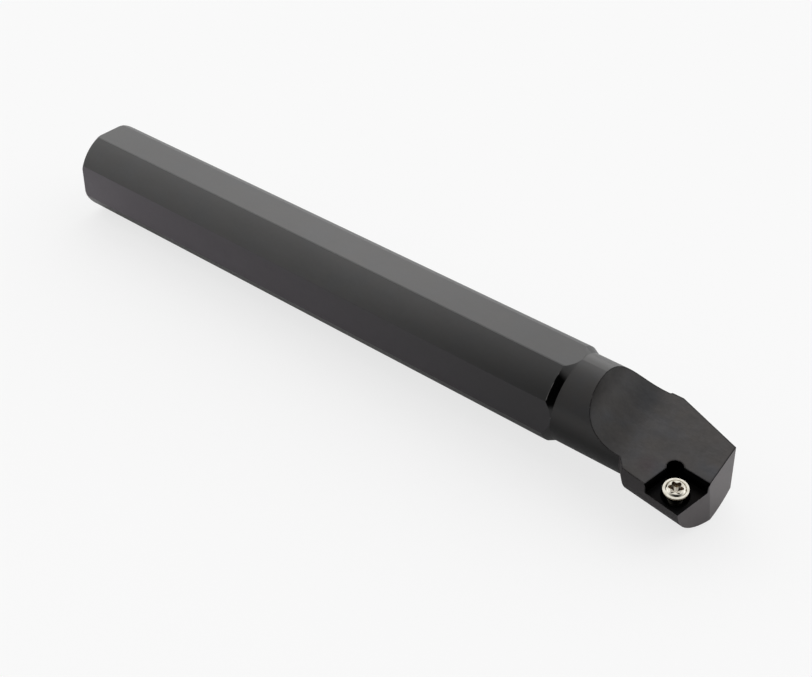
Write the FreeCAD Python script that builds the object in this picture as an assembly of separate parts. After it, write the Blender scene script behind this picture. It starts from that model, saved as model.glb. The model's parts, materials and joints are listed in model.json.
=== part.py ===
import FreeCAD, Part
import math
import os

# Boring bar with its clamp screw. Millimetres.
# X runs along the bar's axis from the rear end to the head, the cutting side faces -Y, +Z is up.
# The origin is on the axis, in the rear end face.

# Shank: a round bar with a flat on top, underneath and on the cutting side. The lengths of the
# neck, the head and its face are counted back from the cutting corner.
shank_diameter = 25.0
height_over_flats = 23.0
side_flat_distance = 11.5
shank_to_corner = 39.0
rear_chamfer = 0.4

# Neck: turned down from the shank over a short cone
neck_diameter = 23.0
neck_cone_length = 1.9

# Place of the cutting corner, and the insert that the seat is made for
reach = 200.0
corner_offset = 17.0
rake_angle = 12.0
lead_angle = 75.0
insert_inscribed_circle = 9.525
insert_corner_angle = 80.0
insert_thickness = 3.97
insert_clearance = 7.0

# Head: a larger round that leans out to the cutting side, with a flat along its back. A turned
# slanting shoulder leads up to it from the neck.
head_diameter = 30.4
head_centre_side = 0.95
head_centre_height = 0.55
head_lean = 8.6
head_to_corner = 18.2
head_shoulder_angle = 49.0
head_back_distance = 11.6

# Face of the head and the round run-out that leads down to it from the neck
pocket_depth = 2.9
runout_radius = 12.0
runout_to_corner = 18.5
runout_turn = 3.0

# Front of the head: a facet under the insert's edge, a facet beside it, and the cut along the back
edge_overhang = 0.5
front_clearance = 2.5
front_corner_place = -6.6
front_facet_angle = 1.2
front_facet_width = 11.95
back_cut_angle = 20.0

# Pocket: two walls, a floor and a round relief in the inner corner. The clearance is that between
# the insert and a wall at the face's level. The upper edge of each wall is broken by a slanting cut.
wall_clearance = 0.15
wall_lean = 1.5
rear_edge_break = 0.45
side_edge_break = 0.85
edge_break_depth = 0.6
relief_radius = 2.0
relief_shift = 1.0
relief_side_shift = 0.3
relief_extra_depth = 0.2

# Clamp screw and its hole
thread_diameter = 4.0
thread_clearance = 0.05
countersink_diameter = 6.6
countersink_angle = 60.0
screw_head_diameter = 6.0
screw_rim_thickness = 0.3
screw_cone_angle = 60.0
screw_boss_diameter = 4.6
screw_boss_top_diameter = 3.9
screw_boss_height = 0.4
screw_length = 9.6
screw_tip_chamfer = 0.4
screw_lift = 2.4
screw_edge_round = 0.15
socket_diameter = 3.5
socket_lobe_radius = 0.42
socket_root_diameter = 2.5
socket_depth = 1.6
socket_turn = 23.0

# Values that follow from the sizes above
shank_length = reach - shank_to_corner
head_start = reach - head_to_corner
runout_end = reach - runout_to_corner
shank_radius = shank_diameter / 2
neck_radius = neck_diameter / 2
head_radius = head_diameter / 2
rake = math.radians(rake_angle)
lead = math.radians(lead_angle)
insert_side = insert_inscribed_circle / math.sin(math.radians(insert_corner_angle))
short_diagonal = 2 * insert_side * math.sin(math.radians(insert_corner_angle / 2))
half_wide_corner = math.radians(90 - insert_corner_angle / 2)

x_axis = FreeCAD.Vector(1, 0, 0)
y_axis = FreeCAD.Vector(0, 1, 0)
z_axis = FreeCAD.Vector(0, 0, 1)

# The head's face is turned about X by the rake angle, so that it falls towards the cutting side.
# A place on the head is (x, across, up): across lies in the face, up is its normal.
across_axis = FreeCAD.Vector(0, math.cos(rake), math.sin(rake))
up_axis = FreeCAD.Vector(0, -math.sin(rake), math.cos(rake))

# The insert's cutting corner lies at the height of the bar's axis
corner_across = -corner_offset * math.cos(rake)
corner_up = corner_offset * math.sin(rake)
seat_up = corner_up - insert_thickness
face_up = seat_up + pocket_depth

# Far beyond the solid, for the ends of cutting shapes
beyond = 40.0


def head_point(x, across, up):
    return x_axis * x + across_axis * across + up_axis * up


def head_direction(angle):
    # In the plane of the face, counted from +X towards the back of the head
    return x_axis * math.cos(angle) + across_axis * math.sin(angle)


def face_of(points):
    return Part.Face(Part.makePolygon(points + points[:1]))


def turned(profile):
    # Profile of (x, radius) points, turned about the bar's axis
    points = [FreeCAD.Vector(x, 0, radius) for x, radius in profile]
    return face_of(points).revolve(FreeCAD.Vector(0, 0, 0), x_axis, 360)


def half_space(point, outward, size=4 * beyond):
    # A block whose near face passes through the point and which lies on the outward side
    placement = FreeCAD.Placement(point, FreeCAD.Rotation(z_axis, outward))
    block = Part.makeBox(size, size, size, FreeCAD.Vector(-size / 2, -size / 2, 0))
    block.Placement = placement
    return block


def make_round_bar(front):
    cone_end = shank_length + neck_cone_length
    bar = turned([
        (0, 0),
        (0, shank_radius - rear_chamfer),
        (rear_chamfer, shank_radius),
        (shank_length, shank_radius),
        (cone_end, neck_radius),
        (front, neck_radius),
        (front, 0),
    ])
    # The flats end with the cone
    half_height = height_over_flats / 2
    flats = ((z_axis, half_height), (-z_axis, half_height), (-y_axis, side_flat_distance))
    for outward, distance in flats:
        place = FreeCAD.Placement(outward * distance, FreeCAD.Rotation(x_axis, y_axis, outward, "ZXY"))
        block = Part.makeBox(cone_end + beyond, 2 * beyond, beyond, FreeCAD.Vector(-beyond, -beyond, 0))
        block.Placement = place
        bar = bar.cut(block)
    return bar


def make_head(front):
    # Leaning round; its centre is given at the reach of the cutting corner
    lean = math.radians(head_lean)
    rear = head_start - 2 * head_radius
    direction = FreeCAD.Vector(math.cos(lean), -math.sin(lean), 0)
    centre = FreeCAD.Vector(reach, -head_centre_side, head_centre_height)
    start = centre - direction * ((reach - rear) / math.cos(lean))
    length = (front + head_radius - rear) / math.cos(lean)
    head = Part.makeCylinder(head_radius, length, start, direction)
    head = head.cut(half_space(across_axis * head_back_distance, across_axis, 2 * reach))
    # Turned shoulder: a cone from the neck outwards
    rise = beyond * math.tan(math.radians(head_shoulder_angle))
    envelope = turned([
        (head_start, 0),
        (head_start, neck_radius),
        (head_start + beyond, neck_radius + rise),
        (head_start + beyond, 0),
    ])
    return head.common(envelope)


def make_face_cut(front):
    # Everything above the head's face, with a quarter round down from the neck. The round runs
    # across the bar, turned a little so that it reaches further back on the far side.
    turn = math.radians(runout_turn)
    forward = head_direction(turn)
    sideways = head_direction(turn + math.pi / 2)
    origin = head_point(runout_end, 0, face_up) - sideways * beyond
    quarter = math.sqrt(0.5) * runout_radius

    def profile_point(along, height):
        return origin + forward * along + up_axis * height

    low = profile_point(0, 0)
    middle = profile_point(-quarter, runout_radius - quarter)
    high = profile_point(-runout_radius, runout_radius)
    corners = [
        high,
        profile_point(-runout_radius, beyond),
        profile_point(front, beyond),
        profile_point(front, 0),
        low,
    ]
    edges = [Part.makeLine(a, b) for a, b in zip(corners, corners[1:])]
    arc = Part.Arc(low, middle, high).toShape()
    return Part.Face(Part.Wire(edges + [arc])).extrude(sideways * (2 * beyond))


def corner_place():
    # The insert's cutting corner as (x, across)
    return reach, corner_across


def insert_places():
    # Inner corner of the insert and its centre, both as (x, across), seen along the face's normal
    inward = lead + half_wide_corner
    x, across = corner_place()
    inner = (x + short_diagonal * math.cos(inward), across + short_diagonal * math.sin(inward))
    centre = ((x + inner[0]) / 2, (across + inner[1]) / 2)
    return inner, centre


def front_cuts():
    # Facet under the insert's front edge: it leans back below the seat
    x, across = corner_place()
    edge = head_direction(lead)
    outward = x_axis * math.sin(lead) - across_axis * math.cos(lead)
    foot = head_point(x, across, seat_up) - outward * edge_overhang
    lean = math.radians(front_clearance)
    edge_facet = half_space(foot, outward * math.cos(lean) - up_axis * math.sin(lean))
    # Facet beside it, from the corner where the two meet
    along = (front_corner_place - across) / math.sin(lead)
    meeting = foot + edge * along
    turn = math.radians(front_facet_angle)
    front_normal = x_axis * math.cos(turn) + across_axis * math.sin(turn)
    front_facet = half_space(meeting, front_normal)
    # Slanting cut along the back of the head, from the far end of that facet
    far = meeting + head_direction(turn + math.pi / 2) * front_facet_width
    slant = math.radians(back_cut_angle)
    back_normal = x_axis * math.sin(slant) + across_axis * math.cos(slant)
    back_cut = half_space(far, back_normal)
    return [edge_facet, front_facet, back_cut]


def make_pocket():
    # The walls stand off the insert by the wall clearance and lean outwards a little
    (inner_x, inner_across), _ = insert_places()
    rear_wall = lead + math.pi
    side_wall = lead - math.radians(insert_corner_angle)
    gap = wall_clearance / math.sin(half_wide_corner)
    inward = lead + half_wide_corner
    spread = math.sin(math.radians(insert_corner_angle))
    top_up = seat_up + 2 * pocket_depth

    # The insert is narrower at the face's level than at its own top
    taper = (corner_up - face_up) * math.tan(math.radians(insert_clearance))

    def outline(up, rear_break=0.0, side_break=0.0):
        narrower = taper + (face_up - up) * math.tan(math.radians(wall_lean))
        shift = gap - narrower / math.sin(half_wide_corner)
        corner = head_point(inner_x, inner_across, up) + head_direction(inward) * shift
        corner = corner - head_direction(side_wall) * (rear_break / spread)
        corner = corner - head_direction(rear_wall) * (side_break / spread)
        ends = [corner + head_direction(angle) * beyond for angle in (rear_wall, side_wall)]
        return Part.makePolygon([corner, ends[0], ends[0] + ends[1] - corner, ends[1], corner])

    pocket = Part.makeLoft([outline(seat_up), outline(top_up)], True, True)
    # The broken edges open as far again above the face
    foot = outline(face_up - edge_break_depth)
    mouth = outline(face_up + edge_break_depth, 2 * rear_edge_break, 2 * side_edge_break)
    pocket = pocket.fuse(Part.makeLoft([foot, mouth], True, True))
    # Round relief so that the insert's inner corner stands clear
    centre = head_point(inner_x, inner_across, seat_up - relief_extra_depth)
    centre = centre - head_direction(inward) * (relief_shift - gap)
    centre = centre + head_direction(inward - math.pi / 2) * relief_side_shift
    height = 2 * pocket_depth + relief_extra_depth
    relief = Part.makeCylinder(relief_radius, height, centre, up_axis)
    return pocket.fuse(relief)


def screw_seat_point():
    _, (x, across) = insert_places()
    return head_point(x, across, seat_up)


def make_screw_hole():
    # Tapped right through the head, with a countersink in the seat
    seat = screw_seat_point()
    hole_radius = thread_diameter / 2 + thread_clearance
    bore = Part.makeCylinder(hole_radius, 2 * beyond, seat - up_axis * beyond, up_axis)
    wide = countersink_diameter / 2
    depth = (wide - hole_radius) / math.tan(math.radians(countersink_angle / 2))
    cone = Part.makeCone(hole_radius, wide, depth, seat - up_axis * depth, up_axis)
    return bore.fuse(cone)


def make_bar():
    front = reach + corner_offset
    bar = make_round_bar(front)
    bar = bar.fuse(make_head(front))
    bar = bar.cut(make_face_cut(front))
    for block in front_cuts():
        bar = bar.cut(block)
    bar = bar.cut(make_pocket())
    bar = bar.cut(make_screw_hole())
    return bar.removeSplitter()


def make_socket():
    # Six-lobed socket: lobes on a circle joined by a round core
    lobe_ring = (socket_diameter / 2) - socket_lobe_radius
    base = FreeCAD.Vector(0, 0, -socket_depth)
    height = 2 * socket_depth
    socket = Part.makeCylinder(socket_root_diameter / 2, height, base)
    for lobe in range(6):
        angle = math.radians(socket_turn + 60 * lobe)
        place = base + FreeCAD.Vector(lobe_ring * math.cos(angle), lobe_ring * math.sin(angle), 0)
        socket = socket.fuse(Part.makeCylinder(socket_lobe_radius, height, place))
    point_depth = socket_root_diameter / 4
    point = Part.makeCone(0, socket_root_diameter / 2, point_depth, base - z_axis * point_depth)
    return socket.fuse(point).removeSplitter()


def make_insert_screw():
    # Drawn about Z with the top of the boss at zero, then set upright on the seat
    rim = screw_head_diameter / 2
    boss = screw_boss_diameter / 2
    boss_top = screw_boss_top_diameter / 2
    thread = thread_diameter / 2
    rim_top = -screw_boss_height
    rim_low = rim_top - screw_rim_thickness
    cone_low = rim_low - (rim - thread) / math.tan(math.radians(screw_cone_angle / 2))
    tip = -screw_length
    profile = [
        (0, 0),
        (boss_top, 0),
        (boss, rim_top),
        (rim, rim_top),
        (rim, rim_low),
        (thread, cone_low),
        (thread, tip + screw_tip_chamfer),
        (thread - screw_tip_chamfer, tip),
        (0, tip),
    ]
    points = [FreeCAD.Vector(radius, 0, height) for radius, height in profile]
    screw = face_of(points).revolve(FreeCAD.Vector(0, 0, 0), z_axis, 360)
    rims = []
    for edge in screw.Edges:
        if isinstance(edge.Curve, Part.Circle):
            high = abs(edge.Curve.Center.z - rim_top) < 1e-6 and abs(edge.Curve.Radius - rim) < 1e-6
            top = abs(edge.Curve.Center.z) < 1e-6 and abs(edge.Curve.Radius - boss_top) < 1e-6
            if high or top:
                rims.append(edge)
    screw = screw.makeFillet(screw_edge_round, rims)
    screw = screw.cut(make_socket())
    turn = FreeCAD.Rotation(x_axis, across_axis, up_axis, "ZXY")
    place = screw_seat_point() + up_axis * (screw_lift + screw_boss_height)
    screw.Placement = FreeCAD.Placement(place, turn)
    return screw


def main():
    os.makedirs("parts", exist_ok=True)
    for name, make in (("bar", make_bar), ("insert_screw", make_insert_screw)):
        shape = make()
        shape.exportStep(os.path.join("parts", name + ".step"))
        box = shape.BoundBox
        print(name, "valid", shape.isValid(), "solids", len(shape.Solids), "faces", len(shape.Faces))
        print("   volume", round(shape.Volume, 1), "box", round(box.XLength, 2), round(box.YLength, 2))


main()
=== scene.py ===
import json
import math

import bpy
import numpy as np
from mathutils import Matrix


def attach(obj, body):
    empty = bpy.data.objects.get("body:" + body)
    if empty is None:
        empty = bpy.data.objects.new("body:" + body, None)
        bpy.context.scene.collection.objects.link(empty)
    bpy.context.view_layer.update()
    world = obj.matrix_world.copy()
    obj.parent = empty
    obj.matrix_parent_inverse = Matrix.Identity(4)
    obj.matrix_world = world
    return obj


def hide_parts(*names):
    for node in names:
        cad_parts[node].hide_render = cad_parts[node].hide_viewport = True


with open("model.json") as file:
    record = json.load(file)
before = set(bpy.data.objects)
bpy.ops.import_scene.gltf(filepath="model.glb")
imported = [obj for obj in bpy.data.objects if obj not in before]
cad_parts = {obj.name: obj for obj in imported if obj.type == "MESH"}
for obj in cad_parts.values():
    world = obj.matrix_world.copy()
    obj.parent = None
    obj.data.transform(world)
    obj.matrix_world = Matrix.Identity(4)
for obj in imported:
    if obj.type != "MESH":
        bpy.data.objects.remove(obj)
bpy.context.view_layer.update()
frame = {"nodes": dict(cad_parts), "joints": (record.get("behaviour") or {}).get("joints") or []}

print("frame loaded:", sorted(frame["nodes"]))

# The frame is in metres: +X to the head, -Y to the cutting side, +Z up. Sizes below are in millimetres.
mm = 0.001

# The head's face falls to the cutting side about X. The screw's joint stands on the pocket's floor at
# a right angle to that face, so it gives the head's own axes: x, across (in the face) and up.
screwJoint = frame["joints"][0]
upAxis = np.array(screwJoint["axis"])
acrossAxis = np.array([0.0, upAxis[2], -upAxis[1]])
screwFoot = np.array(screwJoint["pos_m"]) / mm

# The head's places and sizes. What limits a mask lies a little off the solid's own edges.
head = {
    "screwX": float(screwFoot[0]),
    "screwAcross": float(screwFoot @ acrossAxis),
    "seatUp": float(screwFoot @ upAxis),
    "pocketDepth": 2.9,
    "pocketStart": 187.0,           # the whole pocket lies in front of this
    "frontStart": 193.0,            # and the front facets in front of this
    "runoutStart": 166.0,
    "runoutEnd": 181.5,             # where the round run-out meets the face
    "runoutRadius": 12.0,
    "runoutTurn": math.radians(3.0),
    "wallAngles": (-15.0, 85.0),    # directions in which the pocket's two walls lie off the screw, degrees
    "wallReach": 4.95,
    "edgeBreaks": (0.45, 0.85),     # how far the two walls' upper edges are broken, and how deep
    "edgeBreakDepth": 0.6,
    "reliefPlace": (193.575, -6.930),
    "reliefRadius": 2.06,
    "reliefDepth": 0.3,             # under the pocket's floor
    "sinkRadius": 3.35,             # the countersink in that floor
    "sinkDepth": 2.3,
    "holeRadius": 2.15,
    "headStart": 181.6,
    "neckStart": 162.9,
    "shankEnd": 161.0,
    "flatDistance": 11.5,
}


def newMaterial(name):
    material = bpy.data.materials.new(name)
    material.use_nodes = True
    tree = material.node_tree
    tree.nodes.clear()
    return material, tree


def fill(tree, socket, value):
    # a socket is linked, a number set, and a colour or vector set with as many parts as the socket holds
    if isinstance(value, bpy.types.NodeSocket):
        tree.links.new(value, socket)
    elif isinstance(value, (int, float)):
        socket.default_value = value
    else:
        parts = tuple(value)
        socket.default_value = parts + (1.0,) * (len(socket.default_value) - len(parts))


def put(tree, kind, settings=None, **inputs):
    # "_" in an input's name stands for a space
    node = tree.nodes.new("ShaderNode" + kind)
    for key, value in (settings or {}).items():
        setattr(node, key, value)
    for key, value in inputs.items():
        fill(tree, node.inputs[key.replace("_", " ")], value)
    return node


def maths(tree, operation, *values):
    node = put(tree, "Math", {"operation": operation})
    for socket, value in zip(node.inputs, values):
        fill(tree, socket, value)
    return node.outputs[0]


def dotWith(tree, vector, direction):
    node = put(tree, "VectorMath", {"operation": "DOT_PRODUCT"})
    fill(tree, node.inputs[0], vector)
    fill(tree, node.inputs[1], direction)
    return node.outputs["Value"]


def scaled(tree, vector, factors):
    node = put(tree, "VectorMath", {"operation": "MULTIPLY"})
    fill(tree, node.inputs[0], vector)
    fill(tree, node.inputs[1], factors)
    return node.outputs[0]


def distance(tree, x, y, place=(0.0, 0.0)):
    # from a place in the plane of two coordinates
    offX = maths(tree, "SUBTRACT", x, place[0])
    offY = maths(tree, "SUBTRACT", y, place[1])
    squares = maths(tree, "ADD", maths(tree, "MULTIPLY", offX, offX), maths(tree, "MULTIPLY", offY, offY))
    return maths(tree, "SQRT", squares)


def above(tree, value, limit, soft=0.02):
    # 0 below the limit and 1 above it, with a short ramp
    node = put(tree, "MapRange", {"interpolation_type": "SMOOTHSTEP"}, Value=value)
    node.inputs["From Min"].default_value = limit - soft
    node.inputs["From Max"].default_value = limit + soft
    return node.outputs["Result"]


def below(tree, value, limit, soft=0.02):
    return maths(tree, "SUBTRACT", 1.0, above(tree, value, limit, soft))


def near(tree, value, target, width):
    return below(tree, maths(tree, "ABSOLUTE", maths(tree, "SUBTRACT", value, target)), width)


def both(tree, *masks):
    result = masks[0]
    for mask in masks[1:]:
        result = maths(tree, "MULTIPLY", result, mask)
    return result


def either(tree, *masks):
    result = masks[0]
    for mask in masks[1:]:
        result = maths(tree, "MAXIMUM", result, mask)
    return result


def without(tree, mask):
    return maths(tree, "SUBTRACT", 1.0, mask)


def mixColour(tree, factor, first, second):
    node = put(tree, "Mix", {"data_type": "RGBA"})
    for index, value in ((0, factor), (6, first), (7, second)):
        fill(tree, node.inputs[index], value)
    return node.outputs[2]


def mixValue(tree, factor, first, second):
    node = put(tree, "Mix", {"data_type": "FLOAT"})
    for index, value in ((0, factor), (2, first), (3, second)):
        fill(tree, node.inputs[index], value)
    return node.outputs[0]


def noise(tree, vector, scale, detail, roughness):
    node = put(tree, "TexNoise", None, Vector=vector, Scale=scale, Detail=detail, Roughness=roughness)
    return node.outputs["Fac"]


def splitParts(tree, vector):
    return put(tree, "SeparateXYZ", None, Vector=vector).outputs[0:3]


def greyTimes(tree, tint, tone):
    # a tint darkened to a tone
    red, green, blue = [maths(tree, "MULTIPLY", tone, part) for part in splitParts(tree, tint)]
    return put(tree, "CombineXYZ", None, X=red, Y=green, Z=blue).outputs[0]


def inMillimetres(tree):
    return scaled(tree, put(tree, "TexCoord").outputs["Object"], (1 / mm,) * 3)


# The bar: oxide-blackened steel. Tones are how much light each surface gives back; on the shank's
# rounds and side flat they fall towards the head, and the ground top flat is among the lightest.
barLook = {
    "bandTones": (0.060, 0.018),    # the shank's rounds, rear and front
    "bandLightSlope": 0.0095,            # painted light and shade: lighter above and darker below, on the front half of the rounds
    "behindFlatShade": 0.8,              # painted shade: how much darker the round is just behind the top flat
    "flatEnds": (5.0, 155.0),       # where the flats' tones begin and end to change, mm
    "sideTones": (0.080, 0.014),    # rear and front
    "sideSlope": 0.035,             # how much lighter the side flat gets for each mm down
    "sideTop": 4.0,                 # from this height on
    "topTones": (0.047, 0.071),     # ends and middle
    "topMiddle": (0.60, 0.3),       # where that middle is and how soft, as parts of the flat
    "topEdgeShadeTone": 0.010,           # painted shade in a narrow line along the top flat's edge on the cutting side
    "topEdgeShare": 0.85,
    "neckShadeTones": (0.004, 0.026),    # painted shade below, lighter above
    "neckShadeMetal": 0.5,               # painted shade: how metallic the neck's lower side is, which takes its sheen away
    "runoutTone": 0.024,
    "faceTone": 0.044,
    "milledMetal": 0.5,             # how metallic the thin oxide is on the milled face
    "facetTones": (0.034, 0.041),   # under the insert's edge and beside it
    "flankTone": 0.013,
    # painted shade on the cone
    "coneShadeTone": 0.003,
    "pocketShadeTones": (0.001, 0.007),  # painted shade: walls and floor
    "edgeShadeTone": 0.006,
    "edgeStart": 163.5,             # painted shade darkens edges in front of this
    "edgeRound": 0.25,              # radius by which edges look rounded
    "edgeLimit": (0.95, 0.04),      # cosine to the surface's own normal under which an edge shows; how soft
    "faceEdgeShade": 0.8,                # how far the painted shade of the edge reaches into the milled face
    "faceEdgeShadeShare": 0.9,
    # worn edges, and the painted highlight on the shoulder
    "wearAndHighlightTone": 0.16,
    "wearAndHighlightShare": 0.8,
    "plain": (1.07, 1.0, 0.98),
    "cool": (0.98, 0.99, 1.08),
    "warm": (1.10, 1.0, 0.94),
    "rosy": (1.25, 0.96, 1.02),     # on facets and flanks
    "neutral": (1.01, 1.0, 0.99),
    "neutralShare": 0.7,            # on the shank
    "purple": (1.09, 0.92, 1.12),
    "purpleShare": 0.8,             # on its side flat
    "mottling": (0.35, 1.1),        # how much tones swing, on the rest and on what is milled
    "mottleShares": (0.6, 0.4),     # broad and fine
    "streakShare": 0.35,
    "roughness": 0.36,
    "roughnessSwing": 0.20,
    "darkRoughness": 0.45,          # in the pocket and on the cone
    "flankRoughness": 0.55,
    "waves": 0.08,                  # height of slow waves, mm
    "waveShares": (0.15, 1.0),      # how much of it shows, on the rest and on what is milled
    "markStrength": 0.16,
    "markHeight": 0.03,
    "cutterPlace": (176.0, -75.0),  # (x, across) of the middle of the milling cutter's arcs
    "cutterLines": 3.2,             # for each mm
    # broad stains in the milled face's oxide: (x, across), reach, how much lighter, and tint
    "stains": (
        ((178.0, 8.0), 6.0, -0.22, "cool"),
        ((183.5, 0.5), 5.0, 0.12, "plain"),
        ((188.0, -9.5), 3.5, -0.20, "rosy"),
        ((171.5, 2.0), 3.5, 0.10, "plain"),
    ),
    "stainTint": 0.7,
    # where one look gives way to the next: the middle of the ramp and half its length, mm
    "ramps": {
        "bandX": (132.0, 42.0),
        "slopeX": (100.0, 35.0),
        "slopeZ": (8.2, 3.3),
        "behindY": (4.6, 0.2),
        "behindZ": (9.5, 2.0),
        "topEdgeY": (-4.45, 0.12),
        "coneY": (-6.3, 1.0),       # the cone's painted shade lies between the top and side flats
        "coneZ": (3.6, 0.8),
        "neckZ": (2.0, 7.0),
        "neckMetalZ": (1.0, 3.0),
        "faceX": (180.0, 7.0),      # from the run-out's tone to the face's
    },
    # noises: stretch along x, y and z, then scale, detail and roughness
    "patterns": {
        "broad": ((0.09, 0.17, 0.17), 1.0, 3.0, 0.55),
        "fine": (None, 0.9, 4.0, 0.6),
        "streaks": ((0.35, 4.5, 4.5), 1.0, 2.0, 0.5),
        "streaked": (None, 0.28, 2.0, 0.5),
        "cool": ((0.10, 0.15, 0.15), 1.0, 2.0, 0.5),
        "warm": ((0.13, 0.10, 0.12), 1.3, 2.0, 0.5),
        "rings": ((7.0, 0.05, 0.05), 1.0, 3.0, 0.6),
        "ground": ((0.04, 6.0, 6.0), 1.0, 3.0, 0.6),
        "arcs": (None, 1.0, 3.0, 0.6),
        "arced": (None, 0.35, 2.0, 0.5),
        "wearAndHighlight": (None, 0.8, 3.0, 0.6),    # on edges
        "bright": (None, 0.3, 2.0, 0.5),    # painted highlight on the shoulder's edge
        "grain": (None, 5.0, 4.0, 0.65),
        "waves": (None, 0.4, 2.0, 0.5),
    },
    # patterns that show as patches: over which level, and how soft
    "patches": {
        "streaked": (0.55, 0.1),
        "cool": (0.56, 0.16),
        "warm": (0.56, 0.16),
        "arced": (0.55, 0.12),
        "wearAndHighlight": (0.62, 0.08),
        "bright": (0.45, 0.08),
    },
}


def ramp(tree, value, name):
    return above(tree, value, *barLook["ramps"][name])


def pattern(tree, place, name):
    stretch, scale, detail, roughness = barLook["patterns"][name]
    return noise(tree, scaled(tree, place, stretch) if stretch else place, scale, detail, roughness)


def patches(tree, place, name):
    return above(tree, pattern(tree, place, name), *barLook["patches"][name])


# Masks of the bar's surfaces. The small numbers, in mm, let each one lie a little off its exact place.
def milledFace(tree, x, across, up):
    # the flat face, and the run-out: a round about an axis over its end, turned a little in the face
    faceUp = head["seatUp"] + head["pocketDepth"]
    turn = head["runoutTurn"]
    along = maths(
        tree, "ADD",
        maths(tree, "MULTIPLY", maths(tree, "SUBTRACT", x, head["runoutEnd"]), math.cos(turn)),
        maths(tree, "MULTIPLY", across, math.sin(turn)),
    )
    fromRunAxis = distance(tree, along, up, (0.0, faceUp + head["runoutRadius"]))
    runout = both(
        tree, near(tree, fromRunAxis, head["runoutRadius"], 0.06), below(tree, along, 0.0),
        above(tree, x, head["runoutStart"]), above(tree, up, faceUp - 0.1),
    )
    face = both(tree, near(tree, up, faceUp, 0.04), above(tree, along, 0.0))
    return either(tree, face, runout)


def emptyPocket(tree, x, across, up):
    # everything under the face's level and inside the pocket's two walls, its relief or the hole
    faceUp = head["seatUp"] + head["pocketDepth"]
    fromScrewX = maths(tree, "SUBTRACT", x, head["screwX"])
    fromScrewAcross = maths(tree, "SUBTRACT", across, head["screwAcross"])
    overBreak = maths(tree, "SUBTRACT", up, faceUp - head["edgeBreakDepth"])
    overBreak = maths(tree, "MAXIMUM", maths(tree, "DIVIDE", overBreak, head["edgeBreakDepth"]), 0.0)
    rhomb = both(tree, above(tree, up, head["seatUp"] - 0.05), above(tree, x, head["pocketStart"]))
    for degrees, sign, widest in zip(head["wallAngles"], (-1.0, 1.0), head["edgeBreaks"]):
        angle = math.radians(degrees)
        outwards = maths(
            tree, "ADD",
            maths(tree, "MULTIPLY", fromScrewX, sign * math.cos(angle)),
            maths(tree, "MULTIPLY", fromScrewAcross, sign * math.sin(angle)),
        )
        wall = maths(tree, "ADD", maths(tree, "MULTIPLY", overBreak, widest), head["wallReach"])
        rhomb = both(tree, rhomb, below(tree, maths(tree, "SUBTRACT", outwards, wall), 0.05))
    relief = below(tree, distance(tree, x, across, head["reliefPlace"]), head["reliefRadius"])
    relief = both(tree, relief, above(tree, up, head["seatUp"] - head["reliefDepth"]))
    fromScrew = distance(tree, fromScrewX, fromScrewAcross)
    sink = below(tree, fromScrew, head["sinkRadius"])
    sink = both(tree, sink, above(tree, up, head["seatUp"] - head["sinkDepth"]))
    hole = below(tree, fromScrew, head["holeRadius"])
    return both(
        tree, either(tree, rhomb, relief, sink, hole), below(tree, up, faceUp - 0.06),
        above(tree, x, head["pocketStart"]),
    )


def barRegions(tree, place, normal):
    x, y, z = splitParts(tree, place)
    across = dotWith(tree, place, acrossAxis)
    up = dotWith(tree, place, upAxis)
    flatEdge = head["flatDistance"] - 0.03
    barrel = below(tree, x, head["neckStart"])
    top = both(tree, barrel, above(tree, z, flatEdge))
    side = both(tree, barrel, below(tree, y, -flatEdge))
    underneath = both(tree, barrel, below(tree, z, -flatEdge))
    flats = either(tree, top, side, underneath)
    # painted shade in a narrow line along the top flat's edge
    topEdgeShade = both(tree, top, without(tree, ramp(tree, y, "topEdgeY")))
    rounds = both(tree, barrel, without(tree, flats))
    behind = both(tree, rounds, ramp(tree, y, "behindY"), ramp(tree, z, "behindZ"))
    # the cone's painted shade, between the top and side flats
    cone = both(tree, rounds, above(tree, x, head["shankEnd"]))
    cone = both(tree, cone, without(tree, ramp(tree, y, "coneY")), ramp(tree, z, "coneZ"))
    milled = milledFace(tree, x, across, up)
    pocket = emptyPocket(tree, x, across, up)
    floor = both(tree, pocket, near(tree, up, head["seatUp"], 0.05))
    outside = without(tree, pocket)
    frontwards = above(tree, splitParts(tree, normal)[0], 0.8)
    facets = both(tree, frontwards, above(tree, x, head["frontStart"]), outside)
    beside = both(tree, facets, above(tree, dotWith(tree, normal, acrossAxis), -0.1))
    underFace = below(tree, up, head["seatUp"] + head["pocketDepth"] - 0.06)
    flank = both(tree, above(tree, x, head["headStart"]), underFace, outside)
    # the neck's lower side, which gets painted shade
    lowNeckShade = both(tree, without(tree, barrel), below(tree, x, head["headStart"]), without(tree, milled))
    lowNeckShade = both(tree, lowNeckShade, without(tree, ramp(tree, z, "neckMetalZ")))
    return {
        "x": x, "z": z, "across": across, "barrel": barrel, "flats": flats, "top": top, "topEdgeShade": topEdgeShade,
        "side": side, "behind": behind, "cone": cone, "lowNeckShade": lowNeckShade, "milled": milled,
        "pocket": pocket, "floor": floor, "facets": facets, "beside": beside, "flank": flank,
    }


def stainMask(tree, region, place, reach):
    # 1 at its middle and 0 from its reach on
    spot = below(tree, distance(tree, region["x"], region["across"], place), reach / 2, reach / 2)
    return both(tree, spot, region["milled"])


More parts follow.
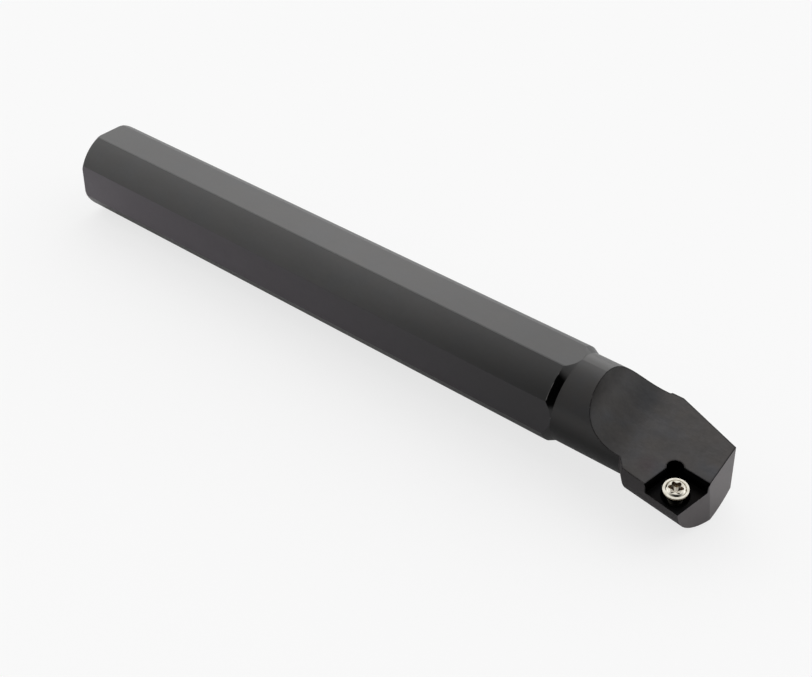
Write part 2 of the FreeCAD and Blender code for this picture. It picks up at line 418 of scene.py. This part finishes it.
def barTone(tree, place, region):
    # one grey tone from the regions, with soft mottling, larger on what is milled
    look = barLook
    x, z, milled = region["x"], region["z"], region["milled"]
    tone = mixValue(tree, ramp(tree, x, "bandX"), *look["bandTones"])
    # painted light and shade: the front half of the rounds lighter above and darker below
    slope = mixValue(tree, ramp(tree, z, "slopeZ"), -look["bandLightSlope"], look["bandLightSlope"])
    tone = maths(tree, "ADD", tone, maths(tree, "MULTIPLY", slope, ramp(tree, x, "slopeX")))
    # painted shade on the round just behind the top flat
    darker = maths(tree, "MULTIPLY", region["behind"], look["behindFlatShade"])
    tone = maths(tree, "MULTIPLY", tone, without(tree, darker))
    # the neck: painted shade below, lighter above
    tone = mixValue(tree, region["barrel"], mixValue(tree, ramp(tree, z, "neckZ"), *look["neckShadeTones"]), tone)

    flatPart = put(tree, "MapRange", {"interpolation_type": "LINEAR"}, Value=x)
    for key, end in zip(("From Min", "From Max"), look["flatEnds"]):
        flatPart.inputs[key].default_value = end
    flatPart = flatPart.outputs["Result"]
    down = maths(tree, "MULTIPLY", maths(tree, "SUBTRACT", look["sideTop"], z), look["sideSlope"])
    sideTone = mixValue(tree, flatPart, *look["sideTones"])
    sideTone = maths(tree, "MULTIPLY", sideTone, maths(tree, "ADD", down, 1.0))
    middle, soft = look["topMiddle"]
    offMiddle = maths(tree, "ABSOLUTE", maths(tree, "SUBTRACT", flatPart, middle))
    topTone = mixValue(tree, below(tree, offMiddle, soft, soft), *look["topTones"])
    topEdgeShade = maths(tree, "MULTIPLY", region["topEdgeShade"], look["topEdgeShare"])
    milledTone = mixValue(tree, ramp(tree, x, "faceX"), look["runoutTone"], look["faceTone"])
    layers = (
        (region["side"], sideTone), (region["top"], topTone), (topEdgeShade, look["topEdgeShadeTone"]),
        (region["flank"], look["flankTone"]), (region["facets"], look["facetTones"][0]),
        (region["beside"], look["facetTones"][1]), (milled, milledTone),
        (region["pocket"], look["pocketShadeTones"][0]), (region["floor"], look["pocketShadeTones"][1]),
        (region["cone"], look["coneShadeTone"]),
    )
    for mask, layer in layers:
        tone = mixValue(tree, mask, tone, layer)

    broad, fine = (
        maths(tree, "MULTIPLY", pattern(tree, place, name), share)
        for name, share in zip(("broad", "fine"), look["mottleShares"])
    )
    mottle = maths(tree, "ADD", broad, fine)
    # rubbed streaks along the bar, in patches of the face
    streaks = maths(tree, "SUBTRACT", pattern(tree, place, "streaks"), 0.5)
    streaked = both(tree, milled, patches(tree, place, "streaked"))
    streaks = maths(tree, "MULTIPLY", streaks, maths(tree, "MULTIPLY", streaked, look["streakShare"]))
    mottle = maths(tree, "SUBTRACT", maths(tree, "ADD", mottle, streaks), 0.5)
    mottle = maths(tree, "MULTIPLY", mottle, mixValue(tree, milled, *look["mottling"]))
    for spot, reach, lighter, name in look["stains"]:
        stain = stainMask(tree, region, spot, reach)
        mottle = maths(tree, "ADD", mottle, maths(tree, "MULTIPLY", stain, lighter))
    return maths(tree, "MULTIPLY", tone, maths(tree, "ADD", mottle, 1.0))


def barTint(tree, place, region):
    look = barLook
    tint = look["plain"]
    for name in ("cool", "warm"):
        tint = mixColour(tree, patches(tree, place, name), tint, look[name])
    for spot, reach, lighter, name in look["stains"]:
        share = maths(tree, "MULTIPLY", stainMask(tree, region, spot, reach), look["stainTint"])
        tint = mixColour(tree, share, tint, look[name])
    for part, name in (("barrel", "neutral"), ("side", "purple")):
        share = maths(tree, "MULTIPLY", region[part], look[name + "Share"])
        tint = mixColour(tree, share, tint, look[name])
    return mixColour(tree, either(tree, region["facets"], region["flank"]), tint, look["rosy"])


def barMarks(tree, place, region):
    # turned surfaces carry fine rings, ground ones long lines, milled ones arcs of a large cutter
    # that show only in patches; facets and flanks have grain alone
    look = barLook
    fromCutter = distance(tree, region["x"], region["across"], look["cutterPlace"])
    lines = maths(tree, "MULTIPLY", fromCutter, look["cutterLines"])
    arcPlace = put(tree, "CombineXYZ", None, X=lines).outputs[0]
    arcs = mixValue(tree, patches(tree, place, "arced"), 0.5, pattern(tree, arcPlace, "arcs"))
    marks = mixValue(tree, region["flats"], pattern(tree, place, "rings"), pattern(tree, place, "ground"))
    marks = mixValue(tree, region["milled"], marks, arcs)
    plain = either(tree, both(tree, region["flank"], without(tree, region["milled"])), region["facets"])
    return mixValue(tree, plain, marks, 0.5)


def edges(tree, normal, radius):
    # the normal as if edges had this radius in mm, and a mask, 1 where it leaves the surface's own
    rounded = put(tree, "Bevel", {"samples": 6}, Radius=radius * mm).outputs[0]
    return rounded, below(tree, dotWith(tree, rounded, normal), *barLook["edgeLimit"])


def blackenedSteel():
    look = barLook
    material, tree = newMaterial("blackenedSteel")
    place = inMillimetres(tree)
    normal = put(tree, "NewGeometry").outputs["Normal"]
    region = barRegions(tree, place, normal)
    milled, pocket = region["milled"], region["pocket"]
    tone = barTone(tree, place, region)

    # painted shade darkens the edges round the head; edges are rubbed lighter in spots, and a painted
    # highlight lies along the shoulder's edge
    rounded, edge = edges(tree, normal, look["edgeRound"])
    faceEdgeShade = both(tree, edges(tree, normal, look["faceEdgeShade"])[1], milled)
    headEdgeShade = both(tree, edge, above(tree, region["x"], look["edgeStart"]))
    headEdgeShade = either(tree, headEdgeShade, maths(tree, "MULTIPLY", faceEdgeShade, look["faceEdgeShadeShare"]))
    # painted shade in the pocket and on the cone
    dark = either(tree, pocket, region["cone"])
    tone = mixValue(tree, both(tree, headEdgeShade, without(tree, dark)), tone, look["edgeShadeTone"])
    # painted highlight along the shoulder's edge
    shoulderHighlight = both(tree, near(tree, region["x"], head["shankEnd"], 0.09), without(tree, region["flats"]))
    shoulderHighlight = both(tree, shoulderHighlight, patches(tree, place, "bright"))
    wearAndHighlight = either(tree, both(tree, edge, patches(tree, place, "wearAndHighlight")), shoulderHighlight)
    wearAndHighlight = both(tree, wearAndHighlight, without(tree, pocket))
    tone = mixValue(tree, maths(tree, "MULTIPLY", wearAndHighlight, look["wearAndHighlightShare"]), tone, look["wearAndHighlightTone"])
    colour = greyTimes(tree, barTint(tree, place, region), tone)

    # painted shade: the dark edges, pocket and cone have no sheen; they are metal as dark as their tone
    shadeWithoutSheen = both(tree, either(tree, dark, headEdgeShade), without(tree, wearAndHighlight))
    metallic = either(
        tree, shadeWithoutSheen, maths(tree, "MULTIPLY", milled, look["milledMetal"]),
        maths(tree, "MULTIPLY", region["lowNeckShade"], look["neckShadeMetal"]),
    )

    grain = pattern(tree, place, "grain")
    marks = barMarks(tree, place, region)
    height = maths(tree, "ADD", maths(tree, "MULTIPLY", marks, 0.5), maths(tree, "MULTIPLY", grain, 0.5))
    waveShare = mixValue(tree, milled, *look["waveShares"])
    slow = maths(tree, "MULTIPLY", pattern(tree, place, "waves"), waveShare)
    waves = put(tree, "Bump", None, Strength=1.0, Distance=look["waves"] * mm, Height=slow, Normal=rounded)
    bump = put(
        tree, "Bump", None, Strength=look["markStrength"], Distance=look["markHeight"] * mm, Height=height,
        Normal=waves.outputs[0],
    )
    swing = maths(tree, "MULTIPLY", maths(tree, "SUBTRACT", grain, 0.5), look["roughnessSwing"])
    roughness = maths(tree, "ADD", swing, look["roughness"])
    plainFlank = both(tree, region["flank"], without(tree, region["facets"]))
    roughness = mixValue(tree, plainFlank, roughness, look["flankRoughness"])
    roughness = mixValue(tree, dark, roughness, look["darkRoughness"])
    shader = put(
        tree, "BsdfPrincipled", None, Base_Color=colour, Roughness=roughness, Normal=bump.outputs[0],
        IOR=1.45, Metallic=metallic,
    )
    put(tree, "OutputMaterial", None, Surface=shader.outputs[0])
    return material


bar = frame["nodes"]["bar"]
bar.data.materials.clear()
bar.data.materials.append(blackenedSteel())
print("bar dressed")

# The bright screw, drawn about its own axis with the top of its boss at height 0
clampScrew = {
    "top": 2.8,             # the boss's top over the pocket's floor
    "bossTopRadius": 1.95,
    "bossFootRadius": 2.30,
    "bossHeight": 0.4,
    "rimRadius": 3.0,
    "rimThickness": 0.3,
    "coneHeight": 1.732,    # under the rim
    "threadRadius": 2.0,
    "threadDepth": 0.36,
    "pitch": 0.7,
    "length": 9.6,
    "tip": 0.4,
    "threadFlank": (2.6, 0.15),     # how steep its flanks are, and how far its crest is cut flat
    "threadRunIn": 0.9,
    "edge": 0.15,           # round of the rim's edge
    "brim": 0.08,           # and of the boss's
    "lip": 0.07,            # and of the socket's
    "socketMean": 1.50,
    "socketWave": 0.25,
    "socketDepth": 1.6,
    "socketPoint": 0.3,
    "socketTurn": math.radians(23.0),
    "around": 288,
    "silver": (0.72, 0.69, 0.61),
    "duller": (0.56, 0.53, 0.45),
    "dullerPatches": (0.55, 0.15),      # level of the stains over which they show, and how soft
    # painted shade on the socket's walls
    "socketWallShade": (0.16, 0.11, 0.07),
    "socketFloor": (0.66, 0.61, 0.52),
    "socketFloorStart": (1.0, 0.35),    # depth, and how soft
    "cornerAndEdgeShade": (0.13, 0.10, 0.06),       # painted shade in the corner round the boss and along the rim's outer edge
    "cornerAndEdgeShadeShare": 0.9,
    "cornerShadeAcross": (-0.9, 0.8),        # the corner's painted shade starts here across the axis, and how soft
    "underRimShade": (0.015, 0.014, 0.012),     # painted shade under the rim
    "roughness": (0.08, 0.18),
    "stains": (1.3, 3.0, 0.6),          # these are noises: scale, detail and roughness
    "rings": (1.0, 2.0, 0.5),
    "grain": (8.0, 3.0, 0.6),
    "ringLines": 8.0,                   # for each mm
    "markStrength": 0.20,
    "markHeight": 0.02,
}


def screwProfile(s, angle):
    # Rows of (radius by angle, height) from the socket's point outwards, over the boss and the rim and
    # down to the tip. The socket's wall is mean + wave * cos(6 * angle). The thread's radius falls and
    # rises with (height / pitch + angle / turn).
    lobes = s["socketMean"] + s["socketWave"] * np.cos(6 * (angle - s["socketTurn"]))
    lip = lobes + s["lip"]
    depth = s["socketDepth"]
    e = s["edge"]
    foot = -s["bossHeight"]
    rows = [(lobes * part, -depth - s["socketPoint"] * (1 - part)) for part in (0.25, 0.5, 0.75, 0.93)]
    rows += [(lobes, -depth * (1 - part) - s["lip"] * part) for part in np.linspace(0, 1, 10)]
    rows += [(lobes + 0.03, -0.025), (lip, 0.0)]
    b = s["brim"]
    brim = s["bossTopRadius"] - b
    rows += [(lip + (brim - lip) * part, 0.0) for part in (0.05, 0.4, 0.8, 0.97, 1.0)]
    rows += [(brim + b * math.sin(turn), b * math.cos(turn) - b) for turn in (0.4, 0.8, 1.2)]
    rows += [
        (s["bossTopRadius"] + (s["bossFootRadius"] - s["bossTopRadius"]) * part, foot * part)
        for part in (0.3, 0.65, 0.93, 1.0)
    ]
    rows += [(s["bossFootRadius"] + 0.05, foot), (s["rimRadius"] - e - 0.2, foot)]
    for turn in np.linspace(0, np.pi / 2, 7):
        rows.append((s["rimRadius"] - e + e * np.sin(turn), foot - e + e * np.cos(turn)))
    rimLow = foot - s["rimThickness"]
    rows += [(s["rimRadius"], rimLow + 0.03), (s["rimRadius"] - 0.03, rimLow - 0.03)]
    for part in np.linspace(0.1, 1, 8):
        radius = s["rimRadius"] + (s["threadRadius"] - s["rimRadius"]) * part
        rows.append((radius, rimLow - s["coneHeight"] * part))
    coneLow = rimLow - s["coneHeight"]
    steep, crest = s["threadFlank"]
    for height in np.arange(coneLow - 0.05, -s["length"] + 0.01, -s["pitch"] / 14):
        turns = (-height / s["pitch"] + angle / (2 * np.pi)) % 1.0
        flank = np.clip(np.abs(turns - 0.5) * steep - crest, 0, 1)
        fade = min(1.0, (coneLow - height) / s["threadRunIn"])
        radius = s["threadRadius"] - s["threadDepth"] * fade * flank
        limit = s["threadRadius"] - max(0.0, s["tip"] - (height + s["length"]))
        rows.append((np.minimum(radius, limit), height))
    rows += [(s["threadRadius"] - s["tip"], -s["length"]), (0.8, -s["length"])]
    return rows


def screwSurface(s):
    # each row becomes a ring of points: (radius * cos(angle), radius * sin(angle), height)
    angle = np.linspace(0, 2 * np.pi, s["around"], endpoint=False)
    rows = screwProfile(s, angle)
    radii = np.array([np.broadcast_to(radius, angle.shape) for radius, height in rows])
    heights = np.array([np.full(angle.shape, height) for radius, height in rows])
    return np.stack([radii * np.cos(angle), radii * np.sin(angle), heights], axis=2)


def closedMesh(name, points, start, end):
    # loops joined into quads, with a fan at each pole
    rows, around = points.shape[:2]
    vertices = np.vstack([points.reshape(-1, 3), start, end])
    i, j = np.meshgrid(np.arange(rows - 1), np.arange(around), indexing="ij")
    k = (j + 1) % around
    corners = [i * around + j, i * around + k, (i + 1) * around + k, (i + 1) * around + j]
    quads = np.stack(corners, axis=2).reshape(-1, 4)
    here = np.arange(around)
    after = (here + 1) % around
    last = (rows - 1) * around
    first = np.stack([np.full(around, rows * around), after, here], axis=1)
    final = np.stack([np.full(around, rows * around + 1), last + here, last + after], axis=1)
    mesh = bpy.data.meshes.new(name)
    mesh.from_pydata(vertices.tolist(), [], quads.tolist() + first.tolist() + final.tolist())
    mesh.update()
    return mesh


def buildScrew():
    s = clampScrew
    axes = np.stack([np.array([1.0, 0.0, 0.0]), acrossAxis, upAxis])
    origin = screwFoot + s["top"] * upAxis

    def placed(points):
        # from millimetres about the screw's own axis to the frame
        return mm * (origin + np.asarray(points) @ axes)

    start = (0.0, 0.0, -s["socketDepth"] - s["socketPoint"])
    end = (0.0, 0.0, -s["length"])
    mesh = closedMesh("insertScrewDetail", placed(screwSurface(s)), placed(start), placed(end))
    screw = bpy.data.objects.new("insertScrewDetail", mesh)
    bpy.context.scene.collection.objects.link(screw)
    mesh.shade_smooth()
    mesh.set_sharp_from_angle(angle=math.radians(25))
    return screw


def screwSteel():
    s = clampScrew
    material, tree = newMaterial("screwSteel")
    place = inMillimetres(tree)
    x = splitParts(tree, place)[0]
    across = dotWith(tree, place, acrossAxis)
    radius = distance(tree, x, across, (head["screwX"], head["screwAcross"]))
    top = head["seatUp"] + s["top"]
    depth = maths(tree, "SUBTRACT", top, dotWith(tree, place, upAxis))
    socketReach = s["socketMean"] + s["socketWave"] + s["lip"]
    # the socket, whose walls get painted shade
    inSocket = both(
        tree, below(tree, radius, socketReach, 0.04), above(tree, depth, s["lip"] + 0.03, 0.06),
        below(tree, depth, s["socketDepth"] + 1.0),
    )
    rimLow = s["bossHeight"] + s["rimThickness"]
    # painted shade under the rim
    underRim = both(tree, above(tree, depth, rimLow + 0.15, 0.08), without(tree, inSocket))
    offAxis = maths(tree, "SUBTRACT", across, head["screwAcross"])
    # painted shade in the corner round the boss, on one side, and along the rim's outer edge
    corner = both(
        tree, near(tree, radius, s["bossFootRadius"] + 0.05, 0.08),
        above(tree, depth, s["bossHeight"] * 0.6), above(tree, offAxis, *s["cornerShadeAcross"]),
    )
    rimEdge = above(tree, radius, s["rimRadius"] - 0.06, 0.03)
    cornerAndEdgeShade = maths(tree, "MULTIPLY", either(tree, corner, rimEdge), s["cornerAndEdgeShadeShare"])
    deep = both(tree, inSocket, above(tree, depth, *s["socketFloorStart"]))
    duller = above(tree, noise(tree, place, *s["stains"]), *s["dullerPatches"])
    colour = s["silver"]
    layers = (
        (duller, "duller"), (cornerAndEdgeShade, "cornerAndEdgeShade"), (inSocket, "socketWallShade"), (deep, "socketFloor"),
        (underRim, "underRimShade"),
    )
    for mask, name in layers:
        colour = mixColour(tree, mask, colour, s[name])
    ringPlace = put(tree, "CombineXYZ", None, X=maths(tree, "MULTIPLY", radius, s["ringLines"])).outputs[0]
    rings = noise(tree, ringPlace, *s["rings"])
    grain = noise(tree, place, *s["grain"])
    height = maths(tree, "ADD", rings, maths(tree, "MULTIPLY", grain, 0.5))
    bump = put(tree, "Bump", None, Strength=s["markStrength"], Distance=s["markHeight"] * mm, Height=height)
    shader = put(
        tree, "BsdfPrincipled", None, Base_Color=colour, Normal=bump.outputs[0],
        Roughness=mixValue(tree, grain, *s["roughness"]), Metallic=1.0,
    )
    put(tree, "OutputMaterial", None, Surface=shader.outputs[0])
    return material


screw = buildScrew()
screw.data.materials.append(screwSteel())
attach(screw, "insert_screw")
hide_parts("insert_screw")
print("screw built:", len(screw.data.polygons), "faces")

# Pale floor under the bar, and a large soft light behind it that fades to a dim camera side.
# Each glow is (azimuth, elevation) in degrees, how narrow it is, and its strength.
studio = {
    "floorReach": 3.0,
    "floorTone": 0.86,
    "white": 0.75,                  # how far the floor is lifted to white in view
    "mirrored": 0.10,               # and in reflections
    "restAt": (1.0, -11.5),         # (x, z) where the shank's rear rests on the floor
    "headAt": (184.3, -14.65),      # and the head
    "gap": 0.03,                    # under both, mm
    "glows": (
        ((110.0, 7.0), 2.4, 1.92),
        ((200.0, 18.0), 2.1, 1.48),
        ((39.0, 24.0), 3.1, 1.36),
    ),
    "dimSide": ((300.0, 25.0), 2.4, 0.97),
    "horizon": (0.6, 1.4),          # share of the light there, and how fast it grows upwards
}


def buildFloor():
    # a plane through the two places where the bar touches it
    (restX, restZ), (headX, headZ) = studio["restAt"], studio["headAt"]
    slope = (headZ - restZ) / (headX - restX)
    reach = studio["floorReach"]
    corners = np.array([[-reach, -reach], [reach, -reach], [reach, reach], [-reach, reach]])
    heights = (restZ - studio["gap"] - slope * restX) * mm + slope * corners[:, 0]
    mesh = bpy.data.meshes.new("floor")
    mesh.from_pydata(np.column_stack([corners, heights]).tolist(), [], [(0, 1, 2, 3)])
    floor = bpy.data.objects.new("floor", mesh)
    bpy.context.scene.collection.objects.link(floor)
    material, tree = newMaterial("paleFloor")
    path = put(tree, "LightPath").outputs
    mirrored = either(tree, path["Is Glossy Ray"], path["Is Transmission Ray"])
    lift = either(
        tree, maths(tree, "MULTIPLY", path["Is Camera Ray"], studio["white"]),
        maths(tree, "MULTIPLY", mirrored, studio["mirrored"]),
    )
    tone = studio["floorTone"]
    plain = put(tree, "BsdfDiffuse", None, Color=(tone, tone, tone))
    white = put(tree, "Emission", None, Color=(1.0, 1.0, 1.0), Strength=1.0)
    mix = put(tree, "MixShader")
    fill(tree, mix.inputs[0], lift)
    fill(tree, mix.inputs[1], plain.outputs[0])
    fill(tree, mix.inputs[2], white.outputs[0])
    put(tree, "OutputMaterial", None, Surface=mix.outputs[0])
    mesh.materials.append(material)


def glow(tree, direction, lobe):
    # strength * exp(narrowness * (cosine of the angle off the middle - 1))
    (azimuth, elevation), narrowness, strength = lobe
    a, e = math.radians(azimuth), math.radians(elevation)
    middle = (math.cos(e) * math.cos(a), math.cos(e) * math.sin(a), math.sin(e))
    off = maths(tree, "SUBTRACT", dotWith(tree, direction, middle), 1.0)
    fall = maths(tree, "EXPONENT", maths(tree, "MULTIPLY", off, narrowness))
    return maths(tree, "MULTIPLY", fall, strength)


def buildWorld():
    world = bpy.data.worlds.new("studio")
    bpy.context.scene.world = world
    world.use_nodes = True
    tree = world.node_tree
    tree.nodes.clear()
    direction = put(tree, "TexCoord").outputs["Generated"]
    level = 0.0
    for lobe in studio["glows"]:
        level = maths(tree, "ADD", glow(tree, direction, lobe), level)
    level = maths(tree, "MULTIPLY", level, without(tree, glow(tree, direction, studio["dimSide"])))
    # less light from just over the horizon
    share, growth = studio["horizon"]
    low = maths(tree, "ADD", maths(tree, "MULTIPLY", splitParts(tree, direction)[2], growth), share)
    low = maths(tree, "MAXIMUM", maths(tree, "MINIMUM", low, 1.0), 0.0)
    level = maths(tree, "MULTIPLY", level, low)
    light = put(tree, "Background", None, Color=(1.0, 1.0, 1.0), Strength=level)
    shown = put(tree, "Background", None, Color=(1.0, 1.0, 1.0), Strength=1.0)
    path = put(tree, "LightPath").outputs
    mix = put(tree, "MixShader")
    fill(tree, mix.inputs[0], either(tree, path["Is Camera Ray"], path["Is Transmission Ray"]))
    fill(tree, mix.inputs[1], light.outputs[0])
    fill(tree, mix.inputs[2], shown.outputs[0])
    fill(tree, tree.nodes.new("ShaderNodeOutputWorld").inputs[0], mix.outputs[0])


def buildCamera():
    # place in metres, then turns about Z, X and the view, in radians
    look = {"place": (0.2731517, -0.2158948, 0.202561), "turns": (0.6433, 0.9065, 0.0413), "lens": 58.054}
    camera = bpy.data.cameras.new("camera")
    camera.lens = look["lens"]
    camera.sensor_width = 36.0
    camera.sensor_fit = "HORIZONTAL"
    camera.clip_start = 0.01
    camera.clip_end = 20.0
    holder = bpy.data.objects.new("camera", camera)
    bpy.context.scene.collection.objects.link(holder)
    a, b, c = look["turns"]
    turn = Matrix.Rotation(a, 4, "Z") @ Matrix.Rotation(b, 4, "X") @ Matrix.Rotation(c, 4, "Z")
    holder.matrix_world = Matrix.Translation(look["place"]) @ turn
    bpy.context.scene.camera = holder


buildFloor()
buildWorld()
buildCamera()
bpy.context.scene.view_settings.view_transform = "Standard"
print("studio set")
